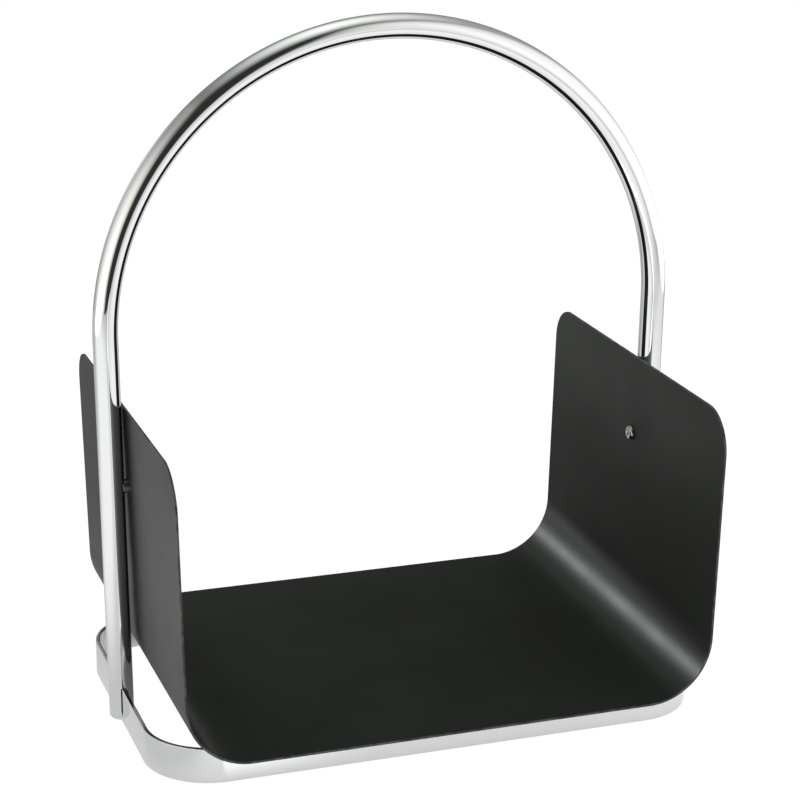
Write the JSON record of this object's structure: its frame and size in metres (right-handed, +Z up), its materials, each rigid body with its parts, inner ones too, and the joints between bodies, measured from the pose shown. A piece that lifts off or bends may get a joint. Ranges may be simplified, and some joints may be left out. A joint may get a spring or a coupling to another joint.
{
  "type": "firewood log rack",
  "caption": "Fireside log rack: a U-shaped black sheet tray on a flat-bar ring, carried by an arched chrome tube handle.",
  "frame": {"origin": "on the floor under the middle of the base ring, midway between the two legs", "axes": "+X along the width from the left leg to the right leg, +Y to the back, +Z up to the top of the handle"},
  "size_m": [0.4172, 0.295, 0.4856],
  "materials": {
    "chrome_plate": "bright chrome plate on polished steel",
    "black_powder_coat": "satin black powder coat with a very fine texture on steel sheet",
    "chrome_fastener": "bright plated steel fastener",
    "zinc_plated_steel": "zinc plated steel"
  },
  "bodies": {
    "root": {"base_ring": "chrome_plate", "ring_seam_weld": "chrome_plate", "handle_arch": "chrome_plate", "leg_cap_left": "chrome_plate", "leg_cap_right": "chrome_plate", "leg_weld_left": "chrome_plate", "leg_weld_right": "chrome_plate", "log_tray": "black_powder_coat", "tray_screw_left": "chrome_fastener", "tray_screw_right": "chrome_fastener", "saddle_washer_left": "chrome_fastener", "saddle_washer_right": "chrome_fastener", "thread_insert_left": "zinc_plated_steel", "thread_insert_right": "zinc_plated_steel"}
  },
  "joints": []
}
